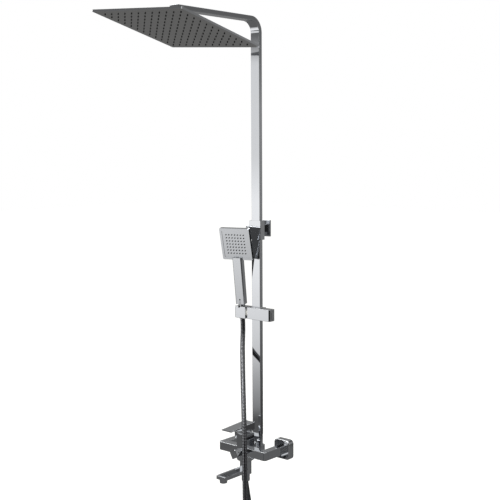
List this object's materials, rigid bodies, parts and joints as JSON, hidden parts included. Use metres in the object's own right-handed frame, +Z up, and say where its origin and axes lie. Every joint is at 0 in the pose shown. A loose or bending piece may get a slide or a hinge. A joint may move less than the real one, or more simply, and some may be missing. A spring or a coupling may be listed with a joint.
{
  "type": "shower column",
  "caption": "Wall-mounted shower column: square overhead plate on a flat arm, sliding hand shower with hose, lever mixer with diverter and swivelling bath spout.",
  "frame": {"origin": "on the finished wall, midway between the two water inlets", "axes": "+X to the right along the wall for someone facing it, +Y into the wall, +Z up"},
  "size_m": [0.3157, 0.5019, 1.5967],
  "materials": {
    "chrome": "polished chrome plating on brass and steel",
    "steel_face": "polished stainless steel sheet",
    "chromed_plastic": "chrome plating on moulded plastic",
    "brass": "machined",
    "steel": "plain",
    "plastic": "moulded",
    "rubber": "moulded",
    "nozzle_rubber": "moulded silicone",
    "hose_metal": "bright interlocked strip"
  },
  "bodies": {
    "root": {"riser_tube": "chrome", "arm_end_cap": "chrome", "riser_connector": "chrome", "connector_seals": "rubber", "mixer_body": "chrome", "body_plug": "chrome", "cartridge": "plastic", "cartridge_nut": "brass", "cartridge_cover": "chrome", "diverter_sleeve": "chrome", "outlet_nipple": "chrome", "spout_seals": "rubber", "hose_lower_nut": "chrome", "hose": "hose_metal", "left_union": "brass", "right_union": "brass", "union_covers": "chrome", "union_nuts": "chrome", "left_escutcheon": "chrome", "right_escutcheon": "chrome", "inlet_washers": "rubber", "bracket_clamp": "chrome", "bracket_screw": "chrome", "bracket_arm": "chrome", "wall_flange": "chrome", "wall_plate": "steel", "arm_nipple": "chrome"},
    "slider": {"slider_body": "chrome", "slider_liner": "plastic", "lock_spring": "steel", "lock_shoe": "plastic", "tilt_axle": "chrome", "tilt_washer": "plastic"},
    "lock_button": {"lock_button": "chromed_plastic"},
    "holder": {"holder_block": "chrome"},
    "cone_nut": {"hose_cone_nut": "chrome"},
    "handset": {"handle_neck": "chrome", "hose_washer": "rubber", "handle_shell": "chromed_plastic", "head_shell": "chromed_plastic", "spray_plate": "chromed_plastic", "handset_nozzles": "nozzle_rubber"},
    "lever_swivel": {"stem_carrier": "plastic"},
    "lever": {"lever_stem": "steel", "lever_handle": "chrome", "lever_set_screw": "steel"},
    "diverter": {"diverter_stem": "plastic", "diverter_seals": "rubber", "diverter_knob": "chrome", "diverter_set_screw": "steel"},
    "spout": {"spout": "chrome", "aerator_shell": "chrome", "aerator_insert": "plastic"},
    "head_lean": {"ball_seal": "rubber"},
    "head_side": {"ball_seat": "plastic"},
    "head": {"swivel_nut": "chrome", "shower_tray": "chrome", "shower_face": "steel_face", "nozzle_mat": "nozzle_rubber"}
  },
  "joints": [
    {"name": "slider_height", "type": "slide", "parent": "root", "child": "slider", "axis": [0, 0, 1], "range_m": [-0.07, 0.13], "deforming": ["hose"]},
    {"name": "lock_press", "type": "slide", "parent": "slider", "child": "lock_button", "axis": [-1, 0, 0], "range_m": [0, 0.003], "stiffness_N_per_m": 400, "deforming": ["lock_spring"]},
    {"name": "holder_tilt", "type": "hinge", "parent": "slider", "child": "holder", "pos_m": [-0.0495, -0.0405, 0.3795], "axis": [1, 0, 0], "range_deg": [0, 15]},
    {"name": "handset_lift", "type": "slide", "parent": "holder", "child": "cone_nut", "axis": [0.0349, -0.1494, 0.9882], "range_m": [0, 0.03]},
    {"name": "handset_turn", "type": "hinge", "parent": "cone_nut", "child": "handset", "pos_m": [-0.0495, -0.0405, 0.3795], "axis": [0.0349, -0.1494, 0.9882], "range_deg": [-60, 0]},
    {"name": "lever_turn", "type": "hinge", "parent": "root", "child": "lever_swivel", "pos_m": [0, -0.086, 0.042], "axis": [0, 0, 1], "range_deg": [-45, 45]},
    {"name": "lever_lift", "type": "hinge", "parent": "lever_swivel", "child": "lever", "pos_m": [0, -0.086, 0.042], "axis": [-1, 0, 0], "range_deg": [0, 20]},
    {"name": "diverter_turn", "type": "hinge", "parent": "root", "child": "diverter", "pos_m": [0, -0.11, -0.002], "axis": [0, -1, 0], "range_deg": [-62, 28]},
    {"name": "spout_swivel", "type": "hinge", "parent": "root", "child": "spout", "pos_m": [0, -0.086, -0.055], "axis": [0, 0, 1], "range_deg": [-90, 90]},
    {"name": "head_lean", "type": "hinge", "parent": "root", "child": "head_lean", "pos_m": [0, -0.33, 1.15], "axis": [1, 0, 0], "range_deg": [-3, 24]},
    {"name": "head_side", "type": "hinge", "parent": "head_lean", "child": "head_side", "pos_m": [0, -0.33, 1.15], "axis": [0, 0.9767, -0.2147], "range_deg": [-16, 8]},
    {"name": "head_spin", "type": "hinge", "parent": "head_side", "child": "head", "pos_m": [0, -0.33, 1.15], "axis": [0.0576, 0.2144, 0.9751], "continuous": true}
  ]
}
